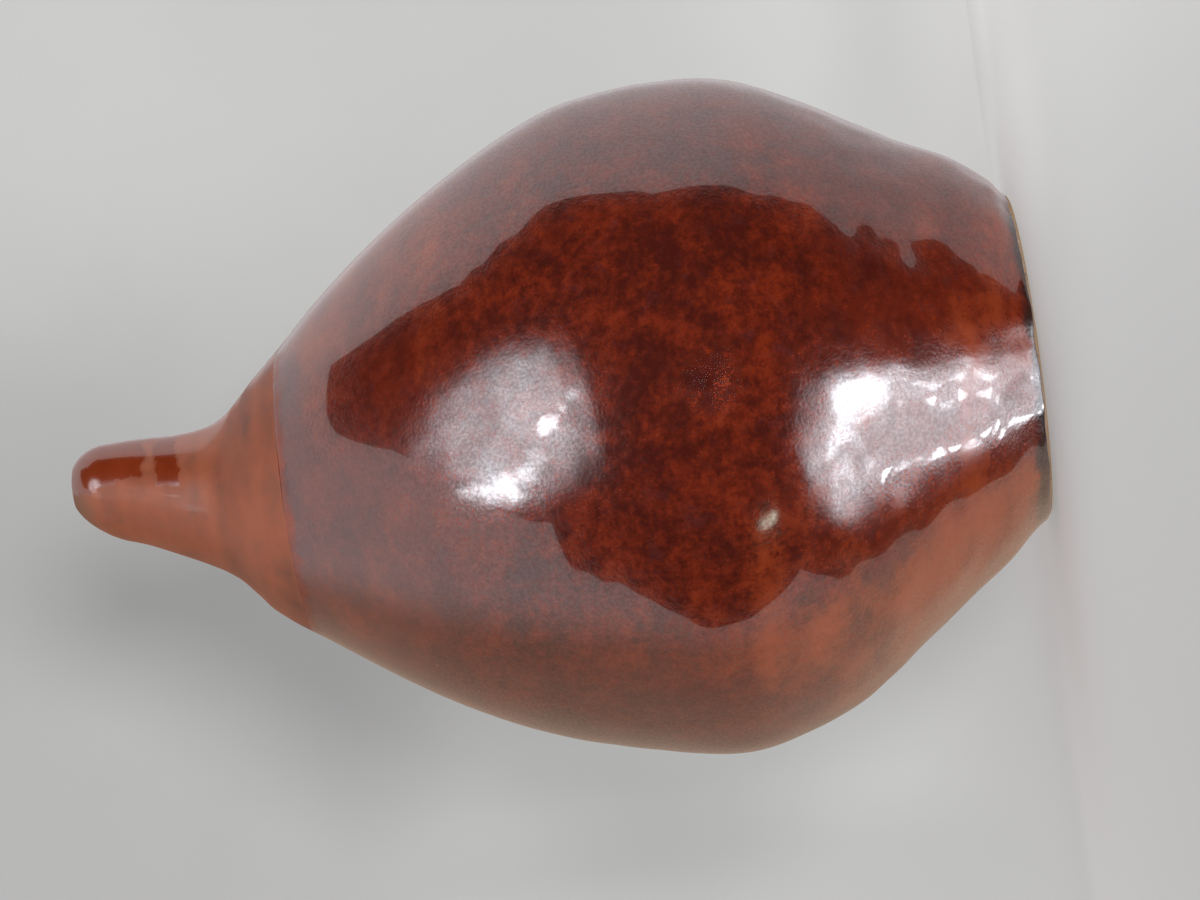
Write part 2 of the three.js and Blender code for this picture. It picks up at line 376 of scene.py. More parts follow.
rounding = (1 - t) ** 2 * floor_end + 2 * t * (1 - t) * corner + t ** 2 * corner_end
bore_hold = (edge_middle[1] - inner_top[1]) / 2
bore_end = (MOUTH_RADIUS, edge_middle[1])
bore = wall_curve(inner_top, -NECK_TAPER, bore_hold, bore_end, 0, bore_hold, 40)
liner_wall = np.vstack([between(inner_line, corner_end[1], inner_top[1] - 0.01), bore])
liner_floor = np.stack([np.linspace(0, floor_end[0], 20), np.full(20, LINER_FLOOR)], 1)
liner_rise = evenly(between(liner_wall, corner_end[1] + 0.2, LINER_TOP), 120)
liner_face = np.vstack([liner_floor, rounding[1:], liner_rise])
liner_back = liner_face + normals_of(liner_face) * COAT
liner_back[0, 0] = 0
liner_line = np.vstack([liner_face, liner_back[::-1]])
around = angles_of(LINER_FLATS)
liner_radius = liner_line[:, :1] + 0 * around
ripple = RIPPLE_DEPTH * unevenness(around, liner_radius, liner_line[:, 1:], RIPPLE_SIZE, 20.0)
ripple *= np.r_[np.ones(len(liner_face)), np.zeros(len(liner_back))][:, None]
ripple *= np.clip(liner_line[:, :1] / RIPPLE_FROM, 0, 1)
liner = turned("liner_glaze_poured", liner_line[:, :1] - ripple, liner_line[:, 1:] + ripple)


def iron_glaze_group():
    """Iron-red glaze: brick melt with fine specks over slow clouds, amber where thin, plum where it pools."""
    inputs = {"Thin": 0.3, "Dark": 0.0, "Plum": 0.0, "Speckle": 1.0}
    outputs = {"Colour": "Color", "Roughness": "Float", "Height": "Float", "Flecks": "Float"}
    group, given, result = effect("iron_glaze", inputs, outputs)
    place, apart = places(group)
    flattened = {0: apart[0], 1: apart[1], 2: times(group, apart[2], 3.5)}
    cloud = grain(group, place, 55, 4.0)
    bands = grain(group, put(group, "CombineXYZ", flattened).outputs[0], 34, 3.0)
    blotch = grain(group, place, 170, 3.0)
    mottle = grain(group, place, 480, 2.0, 0.55)
    speck = grain(group, place, 1450, 2.0, 0.65)
    drift = plus(group, times(group, minus(group, cloud, 0.5), 0.9),
                 times(group, minus(group, bands, 0.5), 0.8))
    thin = plus(group, given["Thin"], drift, clamp=True)
    broken = plus(group, times(group, blotch, 0.38), times(group, mottle, 0.36), times(group, speck, 0.26))
    broken = plus(group, times(group, minus(group, broken, 0.5), given["Speckle"]), 0.5)
    lifted = plus(group, broken, times(group, minus(group, thin, 0.35), 0.25))
    rust = mask(group, lifted, 0.36, 0.64)
    amber = mask(group, lifted, 0.50, 0.85)
    colour = mixed(group, rust, GLAZE_BROWN, GLAZE_RUST)
    colour = mixed(group, times(group, amber, 0.55), colour, GLAZE_AMBER)
    flecked = times(group, minus(group, broken, 0.5), 0.6)
    sheer = mask(group, plus(group, thin, flecked), 0.42, 0.95)
    colour = mixed(group, times(group, sheer, 0.85), colour, GLAZE_SHEER)
    pool = mask(group, grain(group, place, 230, 3.0), 0.54, 0.76)
    pool = times(group, pool, minus(group, 0.26, sheer, clamp=True))
    pool = plus(group, pool, given["Plum"], clamp=True)
    colour = mixed(group, pool, colour, GLAZE_PLUM)
    colour = mixed(group, given["Dark"], colour, GLAZE_BURNT)
    fine = grain(group, place, 1300, 1.0, 0.5)
    relief = plus(group, fine, times(group, mottle, 0.15))
    rough = plus(group, 0.15, times(group, mottle, 0.10))
    fill(group, result, {"Colour": colour, "Roughness": rough, "Height": relief, "Flecks": speck})
    return group


iron_glaze = iron_glaze_group()
material, tree, shader = new_material("liner_glaze_finish")
look = put(tree, "Group", {"Thin": 0.1, "Dark": 0.25}, node_tree=iron_glaze).outputs
tinted = mixed(tree, mask(tree, look["Flecks"], 0.4, 0.6), LINER_DARK, LINER_RUST)
colour = mixed(tree, 0.55, look["Colour"], tinted)
bump = put(tree, "Bump", {"Height": look["Height"], "Distance": 0.00003, "Strength": 1.0}).outputs[0]
fill(tree, shader, {"Base Color": colour, "Roughness": look["Roughness"], "Normal": bump, "IOR": 1.6,
                    "Coat Weight": 0.6, "Coat Roughness": 0.08})
liner.data.materials.append(material)
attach(liner, "root")
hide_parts("liner_glaze")


# Body glaze: the thick iron-red coat over the belly, dipped up to a level line under the neck.
# It follows the thrown wall with its rings and soft swellings, and ends at the foot in an uneven roll.
GLAZE_LINE = 154.5
GLAZE_FLATS = 256
BODY_STEPS, BODY_BACK_STEPS = 236, 60
BACK_DEPTH = 0.85
ROLL_HEIGHT, ROLL_STEPS, ROLL_DROP = 0.6, 9, 0.42
ROLL_RISE, ROLL_RISE_SIZE = 0.4, 6.5
BEAD_LEAST, BEAD_MORE, BEAD_SPREAD, BEAD_SIZE = 0.06, 0.4, 1.5, 11.0
FOOT_THINNING, FOOT_THINNING_TOP = 0.25, 9.0
LOWEST_GLAZE = 0.06
DEEPEST_MARK = -0.6
LOW_SWAY, TIP_SWAY = 0.33, 0.45
FOOT_CUT, FOOT_CUT_TOP = 1.4, 4.5
# Soft swellings of the wall: how far each stands out, the height of its middle, and its spread.
SIDE_SWAYS = ((0.55, 91, 8), (0.25, 4, 5), (-0.3, 156, 6))
UPPER_SWELLS = ((1.2, 12.5, 6.5),)
LOWER_SWELLS = ((0.8, 43, 10), (1.1, 68, 9))
FOOT_SWELLS = ((0.4, 9, 6),)
NECK_ROOT_SWELLS = ((0.7, 161, 6),)
NECK_RINGS = ((0.03, 165, 8),)
PINHOLE_BUFF = (0.30, 0.17, 0.12, 1)


def bump_at(height, middle, spread):
    return np.exp(-((height - middle) / spread) ** 2)


def swelling(height, swells):
    return sum(out * bump_at(height, middle, spread) for out, middle, spread in swells)


def ease(value, low, high):
    t = np.clip((value - low) / (high - low), 0, 1)
    return t * t * (3 - 2 * t)


def hand_marks(angle, radius, height):
    """How far the glazed surface stands off the plain curve: thrown rings, soft swellings and waves."""
    towards = np.cos(angle)
    slow = unevenness(angle, radius, height, 36.0, 1.0)
    medium = unevenness(angle, radius, height, 15.0, 7.0)
    quick = unevenness(angle, radius, height, 7.5, 13.0)
    sway = LOW_SWAY * (1 - ease(height, 100, 118)) + TIP_SWAY * ease(height, 172, 190)
    sway = sway + swelling(height, SIDE_SWAYS)
    upper, lower = np.clip(towards, 0, 1) ** 2, np.clip(-towards, 0, 1) ** 2
    swell = upper * (swelling(height, UPPER_SWELLS) - FOOT_CUT * (1 - ease(height, 0, FOOT_CUT_TOP)))
    swell = swell + lower * swelling(height, LOWER_SWELLS) + swelling(height, NECK_ROOT_SWELLS)
    swell = swell + swelling(height, FOOT_SWELLS) * np.clip(0.4 - towards, 0, 1)
    ring_phase = height / 6.6 + angle / math.tau + 0.9 * slow
    rings = 0.012 * np.sin(ring_phase * math.tau) * (0.4 + 1.2 * medium)
    neck_rings = np.sin(height / 4.4 * math.tau + angle) * swelling(height, NECK_RINGS)
    flare = 1 - ease(height, 38, 64)
    waves = 0.20 * slow + (0.07 + 0.04 * flare) * medium + (0.018 + 0.17 * flare) * quick
    waves *= 1 - 0.6 * ease(height, 150, 175)
    return np.maximum(sway * towards + swell + rings + neck_rings + waves, DEEPEST_MARK)


around = angles_of(GLAZE_FLATS)
body_face = evenly(between(wall_line, ROLL_HEIGHT, GLAZE_LINE), BODY_STEPS)
face_out = normals_of(body_face)
radius = body_face[:, :1] + 0 * around
height = body_face[:, 1:] + 0 * around
at_foot = FOOT_RADIUS + 0 * around
rise = ROLL_RISE * unevenness(around, at_foot, 0 * around, ROLL_RISE_SIZE, 30.0)
thick = unevenness(around, at_foot, 0 * around, BEAD_SIZE, 34.0)
near_foot = 1 - ease(height, ROLL_HEIGHT, FOOT_THINNING_TOP)
bead = BEAD_LEAST + BEAD_MORE * np.clip(thick + 0.05, 0, 1)
bead = bead * bump_at(height, ROLL_HEIGHT, BEAD_SPREAD)
standing = hand_marks(around, radius, height) + bead - FOOT_THINNING * near_foot
face_radius = radius + face_out[:, :1] * standing
face_height = height + face_out[:, 1:] * standing + near_foot * rise
turn = np.linspace(0, math.pi, ROLL_STEPS)[1:-1, None]
out_radius, out_height = face_out[0]
depth = (BACK_DEPTH + standing[:1]) * (1 - np.cos(turn)) / 2
drop = ROLL_DROP * np.sin(turn)
roll_radius = face_radius[:1] - out_radius * depth + out_height * drop
roll_height = face_height[:1] - out_height * depth - out_radius * drop
back_line = wall_line - normals_of(wall_line) * BACK_DEPTH
back = evenly(between(back_line, ROLL_HEIGHT + 0.4, GLAZE_LINE), BODY_BACK_STEPS)
body_radius = np.vstack([face_radius[::-1], roll_radius, back[:, :1] + 0 * around])
body_height = np.vstack([face_height[::-1], roll_height, back[:, 1:] + 0 * around])
body = turned("body_glaze_dipped", body_radius, np.maximum(body_height, LOWEST_GLAZE), 60)


def stretch(tree, value, start, full, ebb, end):
    """1 between the middle two of four rising values, with a soft edge to 0 at each side."""
    return times(tree, mask(tree, value, start, full), mask(tree, value, end, ebb))


material, tree, shader = new_material("body_glaze_finish")
place, apart = places(tree)
side, up = apart[0], apart[2]
level = plus(tree, up, times(tree, minus(tree, grain(tree, place, 260, 3.0), 0.5), 0.004))
low_side = times(tree, mask(tree, side, 0.006, -0.05), mask(tree, up, 0.105, 0.035), 0.42)
foot_side = times(tree, mask(tree, level, 0.055, 0.010), 0.22)
shoulder = times(tree, mask(tree, up, 0.095, 0.14), 0.18)
# Painted light: the upper side of the belly is made paler and more orange, as if more light fell there.
painted_light_upper_side = times(tree, mask(tree, side, 0.012, 0.045), mask(tree, up, 0.08, 0.115), 0.25)
near_line = mask(tree, level, 0.1518, 0.1550)
# Glaze thinness, which also carries the painted light on the belly's upper side.
thin = plus(tree, low_side, foot_side, shoulder, painted_light_upper_side, 0.24, times(tree, near_line, 0.3))
thick_roll = times(tree, mask(tree, side, -0.004, -0.022), 0.0016)
roll_dark = times(tree, mask(tree, minus(tree, level, thick_roll), 0.0028, 0.0010), 0.9)
under_line = times(tree, mask(tree, level, 0.146, 0.1535), 0.2)
mid_belly = stretch(tree, level, 0.03, 0.055, 0.105, 0.125)
mid_belly = times(tree, mid_belly, mask(tree, math_node(tree, "ABSOLUTE", side), 0.058, 0.03))
speckle = plus(tree, times(tree, mid_belly, 0.45), 0.55)
given = {"Thin": thin, "Dark": roll_dark, "Plum": under_line, "Speckle": speckle}
look = put(tree, "Group", given, node_tree=iron_glaze).outputs
pits = put(tree, "TexVoronoi", {"Vector": place, "Scale": 105.0}).outputs["Distance"]
rare = mask(tree, grain(tree, place, 31, 2.0), 0.60, 0.66)
pinholes = times(tree, mask(tree, pits, 0.055, 0.03), rare)
colour = mixed(tree, times(tree, pinholes, 0.6), look["Colour"], PINHOLE_BUFF)
relief = minus(tree, look["Height"], times(tree, pinholes, 3.0))
bump = put(tree, "Bump", {"Height": relief, "Distance": 0.00004, "Strength": 1.0}).outputs[0]
pitting = plus(tree, times(tree, mask(tree, level, 0.138, 0.116), 0.22), 0.14)
pitted = times(tree, mask(tree, grain(tree, place, 1500, 2.0, 0.6), 0.38, 0.62), pitting)
drying = times(tree, near_line, 0.75)
shine = times(tree, minus(tree, 1.0, pitted), minus(tree, 1.0, drying))
fill(tree, shader, {"Base Color": colour, "Roughness": look["Roughness"], "Normal": bump, "IOR": 1.7,
                    "Coat Weight": shine, "Coat Roughness": 0.035, "Coat IOR": 1.95})
body.data.materials.append(material)
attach(body, "root")
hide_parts("body_glaze")


# Neck glaze: the thinner orange coat above the dip line, over the drawn-in lip and into the mouth.
# The clay's throwing rings show through it as bands, and it breaks to buff on the rounded tip.
LIP_GLAZE_END = 194.0
LAP, LAP_THINNING = 1.2, 0.2
NECK_STEPS, DOME_STEPS, MOUTH_STEPS = 96, 26, 22
SMOOTH_FROM = 124
DRAWN_FROM, DRAWN_TO, DRAWN_OVER = 186, 197, 0.8
DRAWN_TILT = 0.05
CUT_FROM, CUT_BACK = 190.5, 1.1
LEAST_RADIUS = 0.2
NECK_ORANGE = (0.30, 0.16, 0.011, 1)
TIP_BUFF = (0.14, 0.062, 0.022, 1)
GLOSSY_RED = (0.19, 0.018, 0.003, 1)
# Painted sheen: the pale pink that the neck's upper side is given in place of a reflection.
PAINTED_SHEEN_PINK = (0.50, 0.16, 0.10, 1)
around = angles_of(GLAZE_FLATS)
lip_face = np.vstack([evenly(between(wall_line, GLAZE_LINE - LAP, neck_top[1]), NECK_STEPS),
                      arc(dome_middle, LIP_RADIUS, NECK_TAPER, edge_angle, DOME_STEPS)[1:],
                      arc(edge_middle, MOUTH_EDGE, edge_angle, 180, MOUTH_STEPS)[1:],
                      between(bore, LIP_GLAZE_END, edge_middle[1] - 0.05)[::-1]])
face_out = normals_of(lip_face)
radius = lip_face[:, :1] + 0 * around
height = lip_face[:, 1:] + 0 * around
past_lip = 1 - ease(np.arange(len(lip_face))[:, None], NECK_STEPS, SMOOTH_FROM)
standing = hand_marks(around, radius, height) * past_lip
standing = standing - LAP_THINNING * (1 - ease(height, GLAZE_LINE - LAP, GLAZE_LINE - 0.1))
lip_back = (lip_face - face_out * COAT)[::4][::-1]
neck_radius = np.vstack([radius + face_out[:, :1] * standing, lip_back[:, :1] + 0 * around])
neck_height = np.vstack([height + face_out[:, 1:] * standing, lip_back[:, 1:] + 0 * around])
drawn = ease(neck_height, DRAWN_FROM, DRAWN_TO)
cut_back = CUT_BACK * ease(neck_height, CUT_FROM, DRAWN_TO) * np.clip(-np.cos(around), 0, 1)
neck_radius = np.maximum(neck_radius - DRAWN_OVER * drawn * np.cos(around) - cut_back, LEAST_RADIUS)
neck_height = neck_height + drawn * (DRAWN_OVER - DRAWN_TILT * neck_radius * np.cos(around))
neck_coat = turned("neck_glaze_dipped", neck_radius, neck_height, 60)

material, tree, shader = new_material("neck_glaze_finish")
place, apart = places(tree)
side, up = apart[0], apart[2]
band_place = put(tree, "CombineXYZ", {2: up}).outputs[0]
bands = mask(tree, grain(tree, band_place, 120, 1.0), 0.35, 0.65)
thin = plus(tree, 0.62, times(tree, bands, 0.2))
look = put(tree, "Group", {"Thin": thin, "Plum": -0.3, "Speckle": 0.6}, node_tree=iron_glaze).outputs
orange = mixed(tree, 0.12, look["Colour"], NECK_ORANGE)
ragged = times(tree, minus(tree, grain(tree, place, 330, 2.0), 0.5), 0.004)
level = plus(tree, up, ragged)
worn = mask(tree, level, 0.1945, 0.1995)
colour = mixed(tree, times(tree, worn, 0.6), orange, TIP_BUFF)
glossy_tip = mask(tree, level, 0.1838, 0.1852)
glossy_band = stretch(tree, level, 0.1768, 0.1778, 0.1818, 0.1828)
aside = plus(tree, side, ragged)
end_part = times(tree, mask(tree, up, 0.1935, 0.1965), 0.0016)
tip_side = mask(tree, plus(tree, aside, end_part), 0.0023, 0.0035)
band_side = mask(tree, aside, 0.0002, 0.0014)
gloss = math_node(tree, "MAXIMUM", times(tree, glossy_tip, tip_side), times(tree, glossy_band, band_side))
colour = mixed(tree, times(tree, gloss, 0.7), colour, GLOSSY_RED)
matt = minus(tree, 1.0, gloss)
rough = plus(tree, look["Roughness"], times(tree, matt, 0.34))
upper_side = put(tree, "SeparateXYZ", {0: put(tree, "NewGeometry").outputs["Normal"]}).outputs[0]
# Painted sheen: the base colour is made paler pink on the neck's upper side, where the pale room reflects at
# grazing angles.
painted_sheen_top = times(tree, mask(tree, upper_side, 0.35, 0.9), times(tree, matt, 0.4))
colour = mixed(tree, painted_sheen_top, colour, PAINTED_SHEEN_PINK)
gloss_top = times(tree, mask(tree, upper_side, 0.62, 0.74), 0.9)
shine = math_node(tree, "MAXIMUM", times(tree, gloss, 0.8), gloss_top)
shine = math_node(tree, "MAXIMUM", shine, 0.06)
bump = put(tree, "Bump", {"Height": look["Height"], "Distance": 0.00002, "Strength": 1.0}).outputs[0]
fill(tree, shader, {"Base Color": colour, "Roughness": rough, "Normal": bump, "IOR": 1.8,
                    "Coat Weight": shine, "Coat Roughness": 0.05, "Coat IOR": 1.78})
neck_coat.data.materials.append(material)
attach(neck_coat, "root")
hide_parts("neck_glaze")


# Studio sweep: the pale floor that the vase stands on and the pale wall close behind it.
# It is painted board, and from behind or below it is left open so that the vase can be seen.
# Far from the vase it fades out into the room.
SWEEP_REACH = 2.6
FLOOR_REACH = 5.2
WALL_AWAY = 0.15
SWEEP_BEND, BEND_STEPS = 0.10, 31
FLOOR_BELOW = 0.0003
FADE_FROM, FADE_TO = 0.6, 1.5
BOARD_PALE = (0.345, 0.345, 0.342, 1)
BOARD_GREY = (0.335, 0.335, 0.332, 1)
FLOOR_PALE = (0.49, 0.49, 0.486, 1)
BOARD_GLOW = 0.46
SIDE_GLOW = 0.3
LOW_GLOW = 0.36
FLOOR_GLOW = 0.1
BEND_DIM, BEND_SIDE_DIM = 0.02, 0.36
CORNER_DIM = 0.015
STREAK_DIM = 0.10
FOOT_GLOW = 0.06
NECK_DIM = 0.13
JOINT_GLOW = 0.07
LOW_FLOOR_DIM = 0.09


def see_only(thing, **rays):
    """Shows a thing to the named kinds of rays only."""
    for ray in ("camera", "diffuse", "glossy", "transmission", "volume_scatter", "shadow"):
        setattr(thing, "visible_" + ray, rays.get(ray, False))


def show_mix(tree, amount, first, second):
    """Shows a mix of two shaders as the material's surface."""
    shown = put(tree, "MixShader", {0: amount, 1: first, 2: second}).outputs[0]
    tree.links.new(shown, tree.nodes["Material Output"].inputs["Surface"])


def board_material():
    """Painted board, with the uneven light of the photo's table as a glow of its own."""
    material, tree, shader = new_material("painted_board")
    place, apart = places(tree)
    side, back, up = apart[0], apart[1], apart[2]
    geometry = put(tree, "NewGeometry").outputs
    turned_to = put(tree, "SeparateXYZ", {0: geometry["Normal"]}).outputs
    flat_part = times(tree, turned_to[2], turned_to[2])
    mottled = mask(tree, grain(tree, place, 14, 3.0), 0.35, 0.65)
    colour = mixed(tree, flat_part, mixed(tree, mottled, BOARD_GREY, BOARD_PALE), FLOOR_PALE)

    upper_side = mask(tree, side, -0.01, 0.10)
    far_side = minus(tree, 1.0, times(tree, mask(tree, side, -0.088, -0.108), 0.6))
    low_part = times(tree, mask(tree, side, -0.03, -0.08), mask(tree, up, 0.175, 0.13), far_side,
                     mask(tree, up, 0.0, 0.06))
    upper_part = plus(tree, times(tree, mask(tree, side, -0.05, 0.05), 0.5), 0.5)
    inner_floor = times(tree, stretch(tree, back, -0.3, -0.02, 0.01, 0.06), upper_part)
    facing_part = minus(tree, times(tree, turned_to[1], -1.0), 0.07, clamp=True)
    bend_part = times(tree, facing_part, mask(tree, flat_part, 0.35, 0.75))
    bend_dim = plus(tree, times(tree, mask(tree, side, 0.03, 0.09), BEND_SIDE_DIM), BEND_DIM)
    corner_part = times(tree, stretch(tree, back, 0.02, 0.05, 0.06, 0.09), mask(tree, side, 0.02, 0.08))
    streak = times(tree, stretch(tree, back, 0.0, 0.022, 0.045, 0.052), mask(tree, side, 0.035, 0.065))
    by_foot = times(tree, stretch(tree, side, 0.02, 0.04, 0.052, 0.068),
                    stretch(tree, back, -0.2, -0.05, 0.05, 0.075))
    beside_neck = times(tree, stretch(tree, side, -0.06, -0.01, 0.02, 0.07), mask(tree, up, 0.17, 0.22))
    joint_part = times(tree, stretch(tree, back, -0.15, -0.03, 0.015, 0.05), upper_part)
    low_floor = times(tree, mask(tree, side, 0.06, -0.06), mask(tree, up, 0.09, 0.035))

    brighter = plus(tree, times(tree, upper_side, SIDE_GLOW), times(tree, low_part, LOW_GLOW),
                    times(tree, inner_floor, FLOOR_GLOW), times(tree, by_foot, FOOT_GLOW),
                    times(tree, joint_part, JOINT_GLOW), BOARD_GLOW)
    dimmer = plus(tree, times(tree, bend_part, bend_dim), times(tree, corner_part, CORNER_DIM),
                  times(tree, streak, STREAK_DIM), times(tree, beside_neck, NECK_DIM),
                  times(tree, low_floor, LOW_FLOOR_DIM))
    fill(tree, shader, {"Base Color": colour, "Roughness": 0.9, "Specular IOR Level": 0.1,
                        "Emission Color": colour, "Emission Strength": minus(tree, brighter, dimmer)})
    distance = put(tree, "VectorMath", {0: place}, operation="LENGTH").outputs["Value"]
    far_off = mask(tree, distance, FADE_FROM, FADE_TO)
    open_part = math_node(tree, "MAXIMUM", geometry["Backfacing"], far_off)
    show_mix(tree, open_part, shader.outputs[0], put(tree, "BsdfTransparent").outputs[0])
    return material


def stage_mesh(name, points, faces, material):
    mesh = bpy.data.meshes.new(name)
    mesh.from_pydata([tuple(map(float, p)) for p in points], [], faces)
    mesh.shade_smooth()
    mesh.materials.append(material)
    thing = bpy.data.objects.new(name, mesh)
    bpy.context.scene.collection.objects.link(thing)
    return thing


board = board_material()
sweep_line = []
for bend in np.radians(np.linspace(-90, 0, BEND_STEPS)):
    away = WALL_AWAY - SWEEP_BEND + SWEEP_BEND * math.cos(bend)
    sweep_line.append((away, SWEEP_BEND + SWEEP_BEND * math.sin(bend) - FLOOR_BELOW))
sweep_line.append((WALL_AWAY, SWEEP_REACH))
points = [(end * SWEEP_REACH, y, z) for y, z in sweep_line for end in (-1, 1)]
faces = [(2 * i, 2 * i + 1, 2 * i + 3, 2 * i + 2) for i in range(len(sweep_line) - 1)]
sweep = stage_mesh("sweep", points, faces, board)
see_only(sweep, camera=True)
ground_corners = ((-1, -1), (1, -1), (1, 1), (-1, 1))
ground = [(x * FLOOR_REACH, y * FLOOR_REACH, -FLOOR_BELOW) for x, y in ground_corners]
floor = stage_mesh("floor_board", ground, [(0, 1, 2, 3)], board)
see_only(floor, camera=True)


# Studio light: a pale room, a soft key lamp in front and a weaker lamp behind.
# The room is warmer behind the vase, and a paler strip there lights the vase's rim.
VASE_MIDDLE = Vector((0.0, 0.0, 0.09))
ROOM_PALE = (0.60, 0.60, 0.605, 1)
ROOM_BEHIND = (0.53, 0.47, 0.47, 1)
ROOM_RIM = (0.66, 0.62, 0.64, 1)
ROOM_BELOW = (0.42, 0.42, 0.42, 1)
world = bpy.data.worlds.new("pale_room")
world.use_nodes = True
bpy.context.scene.world = world
tree = world.node_tree
towards = put(tree, "SeparateXYZ", {0: put(tree, "TexCoord").outputs["Generated"]}).outputs
tone = mixed(tree, mask(tree, towards[1], 0.25, 0.95), ROOM_PALE, ROOM_BEHIND)
rim_light = times(tree, stretch(tree, towards[0], -0.05, 0.1, 0.25, 0.5), mask(tree, towards[1], 0.8, 0.95))
tone = mixed(tree, rim_light, tone, ROOM_RIM)
tone = mixed(tree, mask(tree, towards[2], -0.1, -0.7), tone, ROOM_BELOW)
fill(tree, tree.nodes["Background"], {"Color": tone})


def lamp(name, place, power, size):
    """Round soft lamp aimed at the vase, which the gloss doesn't show."""
    light = bpy.data.lights.new(name, "AREA")
    light.shape = "DISK"
    light.energy = power
    light.size = size
    made = bpy.data.objects.new(name, light)
    made.location = place
    made.rotation_mode = "QUATERNION"
    made.rotation_quaternion = (VASE_MIDDLE - Vector(place)).to_track_quat("-Z", "Y")
    bpy.context.scene.collection.objects.link(made)
    made.visible_glossy = False


lamp("key_lamp", place=(0.22, -1.3, -0.10), power=10.5, size=0.3)
lamp("back_lamp", place=(-0.9, 1.2, 0.9), power=7.0, size=0.8)


# Dark flag: the dark cloth round the camera, which the gloss shows as the vase's dark field.
# Its outline is given by how far it reaches from the camera's direction, by angle round it.
FLAG_CORNERS = ((0, 79), (26, 91), (45, 87), (58, 101), (79, 79), (90, 64), (126, 50), (150, 61), (175, 72),
                (217, 68), (226, 87), (236, 98), (270, 100), (300, 85), (312, 90), (330, 84), (360, 79))
FLAG_AWAY = 1.2
FLAG_RINGS, FLAG_COLUMNS = 24, 180
FLAG_BLACK = (0.0005, 0.0005, 0.0005, 1)
FLAG_DARK = (0.007, 0.005, 0.004, 1)
BLACK = (0, 0, 0, 1)


def facing(off, round_angle):
    """Direction that lies off the camera's side by an angle, turned from +X towards +Z."""
    off, round_angle = math.radians(off), math.radians(round_angle)
    sideways = math.sin(off)
    return Vector((sideways * math.cos(round_angle), -math.cos(off), sideways * math.sin(round_angle)))


def ring_faces(rings, columns):
    """Faces between rings of points, each of which closes round."""
    faces = []
    for ring in range(rings - 1):
        for column in range(columns):
            a, b = ring * columns + column, ring * columns + (column + 1) % columns
            faces.append((a, b, b + columns, a + columns))
    return faces


def glow(tree, shader, colour, strength):
    """Makes a material shine with a colour and reflect nothing."""
    fill(tree, shader, {"Base Color": BLACK, "Specular IOR Level": 0, "Emission Color": colour,
                        "Emission Strength": strength})


corner_at, corner_reach = zip(*FLAG_CORNERS)
points = []
for ring in range(1, FLAG_RINGS + 1):
    for column in range(FLAG_COLUMNS):
        round_angle = column * 360 / FLAG_COLUMNS
        reach = np.interp(round_angle, corner_at, corner_reach) * ring / FLAG_RINGS
        points.append(VASE_MIDDLE + FLAG_AWAY * facing(reach, round_angle))
faces = [tuple(range(FLAG_COLUMNS))] + ring_faces(FLAG_RINGS, FLAG_COLUMNS)
material, tree, shader = new_material("dark_flag")
weave = grain(tree, put(tree, "TexCoord").outputs["Object"], 6, 3.0)
glow(tree, shader, mixed(tree, weave, FLAG_BLACK, FLAG_DARK), 1.0)
flag = stage_mesh("dark_flag", points, faces, material)
see_only(flag, glossy=True)


# Low board: a warm grey board on the low side, which the gloss shows along the vase's lower outline.
# It is a soft-edged part of a ball round the vase, and brighter towards the foot.
LOW_SIDE = Vector((-0.75, 0.66, 0.0)).normalized()
LOW_AWAY = 1.35
LOW_RINGS, LOW_COLUMNS, LOW_STEP = 17, 72, 5
LOW_DARK = (0.29, 0.205, 0.15, 1)
LOW_PALE = (0.39, 0.30, 0.235, 1)
UPRIGHT = Vector((0, 0, 1))
low_across = LOW_SIDE.cross(UPRIGHT).normalized()
points = []
for ring in range(LOW_RINGS):
    for column in range(LOW_COLUMNS):
        off, turn = math.radians(ring * LOW_STEP), math.radians(column * LOW_STEP)
        sideways = low_across * math.cos(turn) + UPRIGHT * math.sin(turn)
        points.append(VASE_MIDDLE + LOW_AWAY * (LOW_SIDE * math.cos(off) + sideways * math.sin(off)))
material, tree, shader = new_material("low_board")
place, apart = places(tree)
clouded = grain(tree, place, 2.5, 2.0)
foot_end = times(tree, mask(tree, apart[2], 0.1, -0.7), 0.5)
glow(tree, shader, mixed(tree, clouded, LOW_DARK, LOW_PALE), plus(tree, foot_end, 1.0))
inward = put(tree, "VectorMath", {0: place, 1: tuple(LOW_SIDE)}, operation="DOT_PRODUCT").outputs["Value"]
clear = put(tree, "BsdfTransparent").outputs[0]
show_mix(tree, mask(tree, inward, 0.46, 0.95), clear, shader.outputs[0])
low_board = stage_mesh("low_board", points, ring_faces(LOW_RINGS, LOW_COLUMNS), material)
see_only(low_board, glossy=True)


# Diffusers: two round lit cloths with bright spots and a small warm lamp, which only the gloss shows.
# They make the pale highlights on the shoulder and near the foot, and the small warm spot.
CARD_REACH, CARD_CELLS = 1.5, 12
COOL = (0.95, 0.985, 1.05, 1)
WARM = (0.92, 0.93, 0.74, 1)
# Bright spots on a cloth: place across and up it, size and power.
LEFT_SPOTS = ((0.12, -0.83, 0.14, 3.5), (-0.04, -0.65, 0.13, 4.5), (-0.21, -0.46, 0.135, 12.0),
              (-0.48, -0.22, 0.16, 3.0), (-0.63, -0.03, 0.18, 5.0), (-0.77, 0.26, 0.25, 18.0),
              (-0.72, 0.54, 0.24, 16.0))
RIGHT_SPOTS = ((0.42, 0.20, 0.30, 8.0), (0.60, 0.0, 0.22, 4.0), (0.12, 0.40, 0.28, 5.5),
               (-0.30, 0.30, 0.22, 2.5), (0.14, -0.12, 0.12, 9.0), (0.38, -0.24, 0.1, 5.0),
               (-0.11, -0.29, 0.1, 5.0), (-0.59, -0.22, 0.11, 16.0), (-0.60, 0.02, 0.11, 16.0),
               (-0.78, -0.44, 0.11, 16.0), (-0.72, -0.75, 0.16, 12.0))
